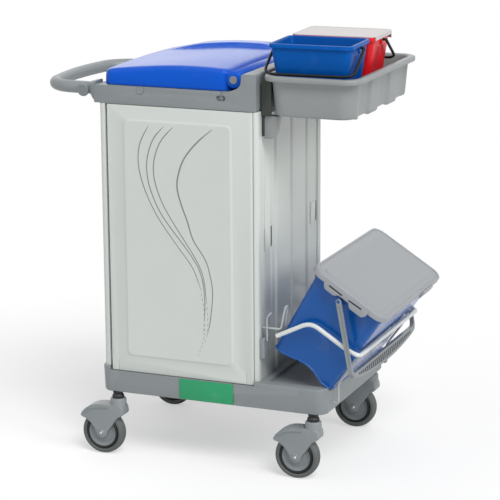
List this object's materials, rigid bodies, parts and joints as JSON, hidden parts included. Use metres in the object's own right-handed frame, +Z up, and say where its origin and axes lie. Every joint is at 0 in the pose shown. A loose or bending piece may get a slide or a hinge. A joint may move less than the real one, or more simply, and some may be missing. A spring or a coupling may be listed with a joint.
{
  "type": "housekeeping cart",
  "caption": "Wheeled housekeeping cart with a panelled cabinet, hinged lid, push handle, bucket tray and a tilted lidded mop box on swivel casters.",
  "frame": {"origin": "on the floor, under the middle of the whole cart's footprint, handle and mop box included", "axes": "+Z up, +X along the cart from the push handle to the tray and mop box, +Y away from the side door"},
  "size_m": [0.9668, 0.5028, 1.1088],
  "materials": {
    "grey_plastic": "satin moulded grey plastic",
    "cabinet_shell": "pale grey-green, lightly textured",
    "lid_blue": "glossy blue",
    "bucket_blue": "blue, semi-gloss",
    "bucket_red": "red, semi-gloss",
    "box_blue": "blue, satin",
    "pale_grey": "light grey, satin",
    "black_plastic": "black, satin",
    "black_wire": "black coated wire",
    "white_wire": "pale coated wire",
    "bail_grey": "mid grey, satin",
    "grey_rubber": "grey, matt",
    "green_plate": "green, satin"
  },
  "bodies": {
    "base": {"base_platform": "grey_plastic", "base_label": "green_plate", "post_fl": "cabinet_shell", "post_fr": "cabinet_shell", "post_bl": "cabinet_shell", "post_br": "cabinet_shell", "side_panel_rear": "cabinet_shell", "end_panel_left": "cabinet_shell", "end_panel_right": "cabinet_shell", "top_frame": "grey_plastic", "frame_plug": "grey_plastic", "frame_latch": "grey_plastic", "handle_bow": "grey_plastic", "handle_socket_front": "grey_plastic", "handle_socket_rear": "grey_plastic", "handle_cap_front": "grey_plastic", "handle_cap_rear": "grey_plastic", "tray_rail": "grey_plastic", "tray_gusset_front": "grey_plastic", "tray_gusset_rear": "grey_plastic", "cradle_frame": "white_wire", "cradle_stay": "white_wire", "cradle_hook_front": "white_wire", "cradle_hook_rear": "white_wire", "hook_block_front": "cabinet_shell", "hook_block_rear": "cabinet_shell"},
    "door": {"side_door": "cabinet_shell"},
    "main_lid": {"lid": "lid_blue", "lid_pin_front": "grey_plastic", "lid_pin_rear": "grey_plastic"},
    "tray_unit": {"tray": "grey_plastic"},
    "blue_bucket": {"bucket_blue": "bucket_blue"},
    "blue_bail": {"bucket_bail_blue": "black_wire"},
    "red_bucket": {"bucket_red": "bucket_red"},
    "red_bail": {"bucket_bail_red": "black_wire"},
    "red_cover": {"bucket_lid_red": "pale_grey"},
    "box": {"mop_box": "box_blue"},
    "box_cover": {"mop_lid": "pale_grey", "lid_clip_front": "pale_grey", "lid_clip_rear": "pale_grey"},
    "box_handle": {"box_bail": "bail_grey"},
    "caster_fl": {"fork_fl": "grey_plastic", "stem_fl": "black_plastic"},
    "wheel_fl": {"tread_fl": "grey_rubber", "rim_fl": "black_plastic"},
    "caster_bl": {"fork_bl": "grey_plastic", "stem_bl": "black_plastic"},
    "wheel_bl": {"tread_bl": "grey_rubber", "rim_bl": "black_plastic"},
    "caster_fr": {"fork_fr": "grey_plastic", "stem_fr": "black_plastic"},
    "wheel_fr": {"tread_fr": "grey_rubber", "rim_fr": "black_plastic"},
    "caster_br": {"fork_br": "grey_plastic", "stem_br": "black_plastic"},
    "wheel_br": {"tread_br": "grey_rubber", "rim_br": "black_plastic"}
  },
  "joints": [
    {"name": "door_hinge", "type": "hinge", "parent": "base", "child": "door", "pos_m": [0.126, -0.2247, 0.6], "axis": [0, 0, 1], "range_deg": [0, 90]},
    {"name": "lid_hinge", "type": "hinge", "parent": "base", "child": "main_lid", "pos_m": [0.0785, -0.0015, 1.012], "axis": [0, 1, 0], "range_deg": [0, 95]},
    {"name": "tray_lift", "type": "slide", "parent": "base", "child": "tray_unit", "axis": [0, 0, 1], "range_m": [0, 0.15]},
    {"name": "blue_bucket_lift", "type": "slide", "parent": "tray_unit", "child": "blue_bucket", "axis": [0, 0, 1], "range_m": [0, 0.25]},
    {"name": "red_bucket_lift", "type": "slide", "parent": "tray_unit", "child": "red_bucket", "axis": [0, 0, 1], "range_m": [0, 0.25]},
    {"name": "red_cover_lift", "type": "slide", "parent": "red_bucket", "child": "red_cover", "axis": [0, 0, 1], "range_m": [0, 0.12]},
    {"name": "blue_bail_swing", "type": "hinge", "parent": "blue_bucket", "child": "blue_bail", "pos_m": [0.2727, -0.1325, 1.0935], "axis": [-0.999, -0.0454, 0], "range_deg": [0, 150]},
    {"name": "red_bail_swing", "type": "hinge", "parent": "red_bucket", "child": "red_bail", "pos_m": [0.2723, 0.034, 1.0935], "axis": [0.999, 0.0454, 0], "range_deg": [0, 150]},
    {"name": "box_lift", "type": "slide", "parent": "base", "child": "box", "axis": [0.5373, 0, 0.8434], "range_m": [0, 0.12]},
    {"name": "box_cover_hinge", "type": "hinge", "parent": "box", "child": "box_cover", "pos_m": [0.29024, 0, 0.5488], "axis": [0, -1, 0], "range_deg": [0, 110]},
    {"name": "box_handle_swing", "type": "hinge", "parent": "box", "child": "box_handle", "pos_m": [0.36629, 0, 0.4802], "axis": [0, -1, 0], "range_deg": [0, 150]},
    {"name": "swivel_fl", "type": "hinge", "parent": "base", "child": "caster_fl", "pos_m": [-0.255, -0.2228, 0.14], "axis": [0, 0, 1], "continuous": true},
    {"name": "roll_fl", "type": "hinge", "parent": "caster_fl", "child": "wheel_fl", "pos_m": [-0.297, -0.2228, 0.0585], "axis": [0, 1, 0], "continuous": true},
    {"name": "swivel_bl", "type": "hinge", "parent": "base", "child": "caster_bl", "pos_m": [-0.255, 0.2198, 0.14], "axis": [0, 0, 1], "continuous": true},
    {"name": "roll_bl", "type": "hinge", "parent": "caster_bl", "child": "wheel_bl", "pos_m": [-0.297, 0.2198, 0.0585], "axis": [0, 1, 0], "continuous": true},
    {"name": "swivel_fr", "type": "hinge", "parent": "base", "child": "caster_fr", "pos_m": [0.291, -0.2228, 0.14], "axis": [0, 0, 1], "continuous": true},
    {"name": "roll_fr", "type": "hinge", "parent": "caster_fr", "child": "wheel_fr", "pos_m": [0.249, -0.2228, 0.0585], "axis": [0, 1, 0], "continuous": true},
    {"name": "swivel_br", "type": "hinge", "parent": "base", "child": "caster_br", "pos_m": [0.291, 0.2198, 0.14], "axis": [0, 0, 1], "continuous": true},
    {"name": "roll_br", "type": "hinge", "parent": "caster_br", "child": "wheel_br", "pos_m": [0.249, 0.2198, 0.0585], "axis": [0, 1, 0], "continuous": true}
  ]
}
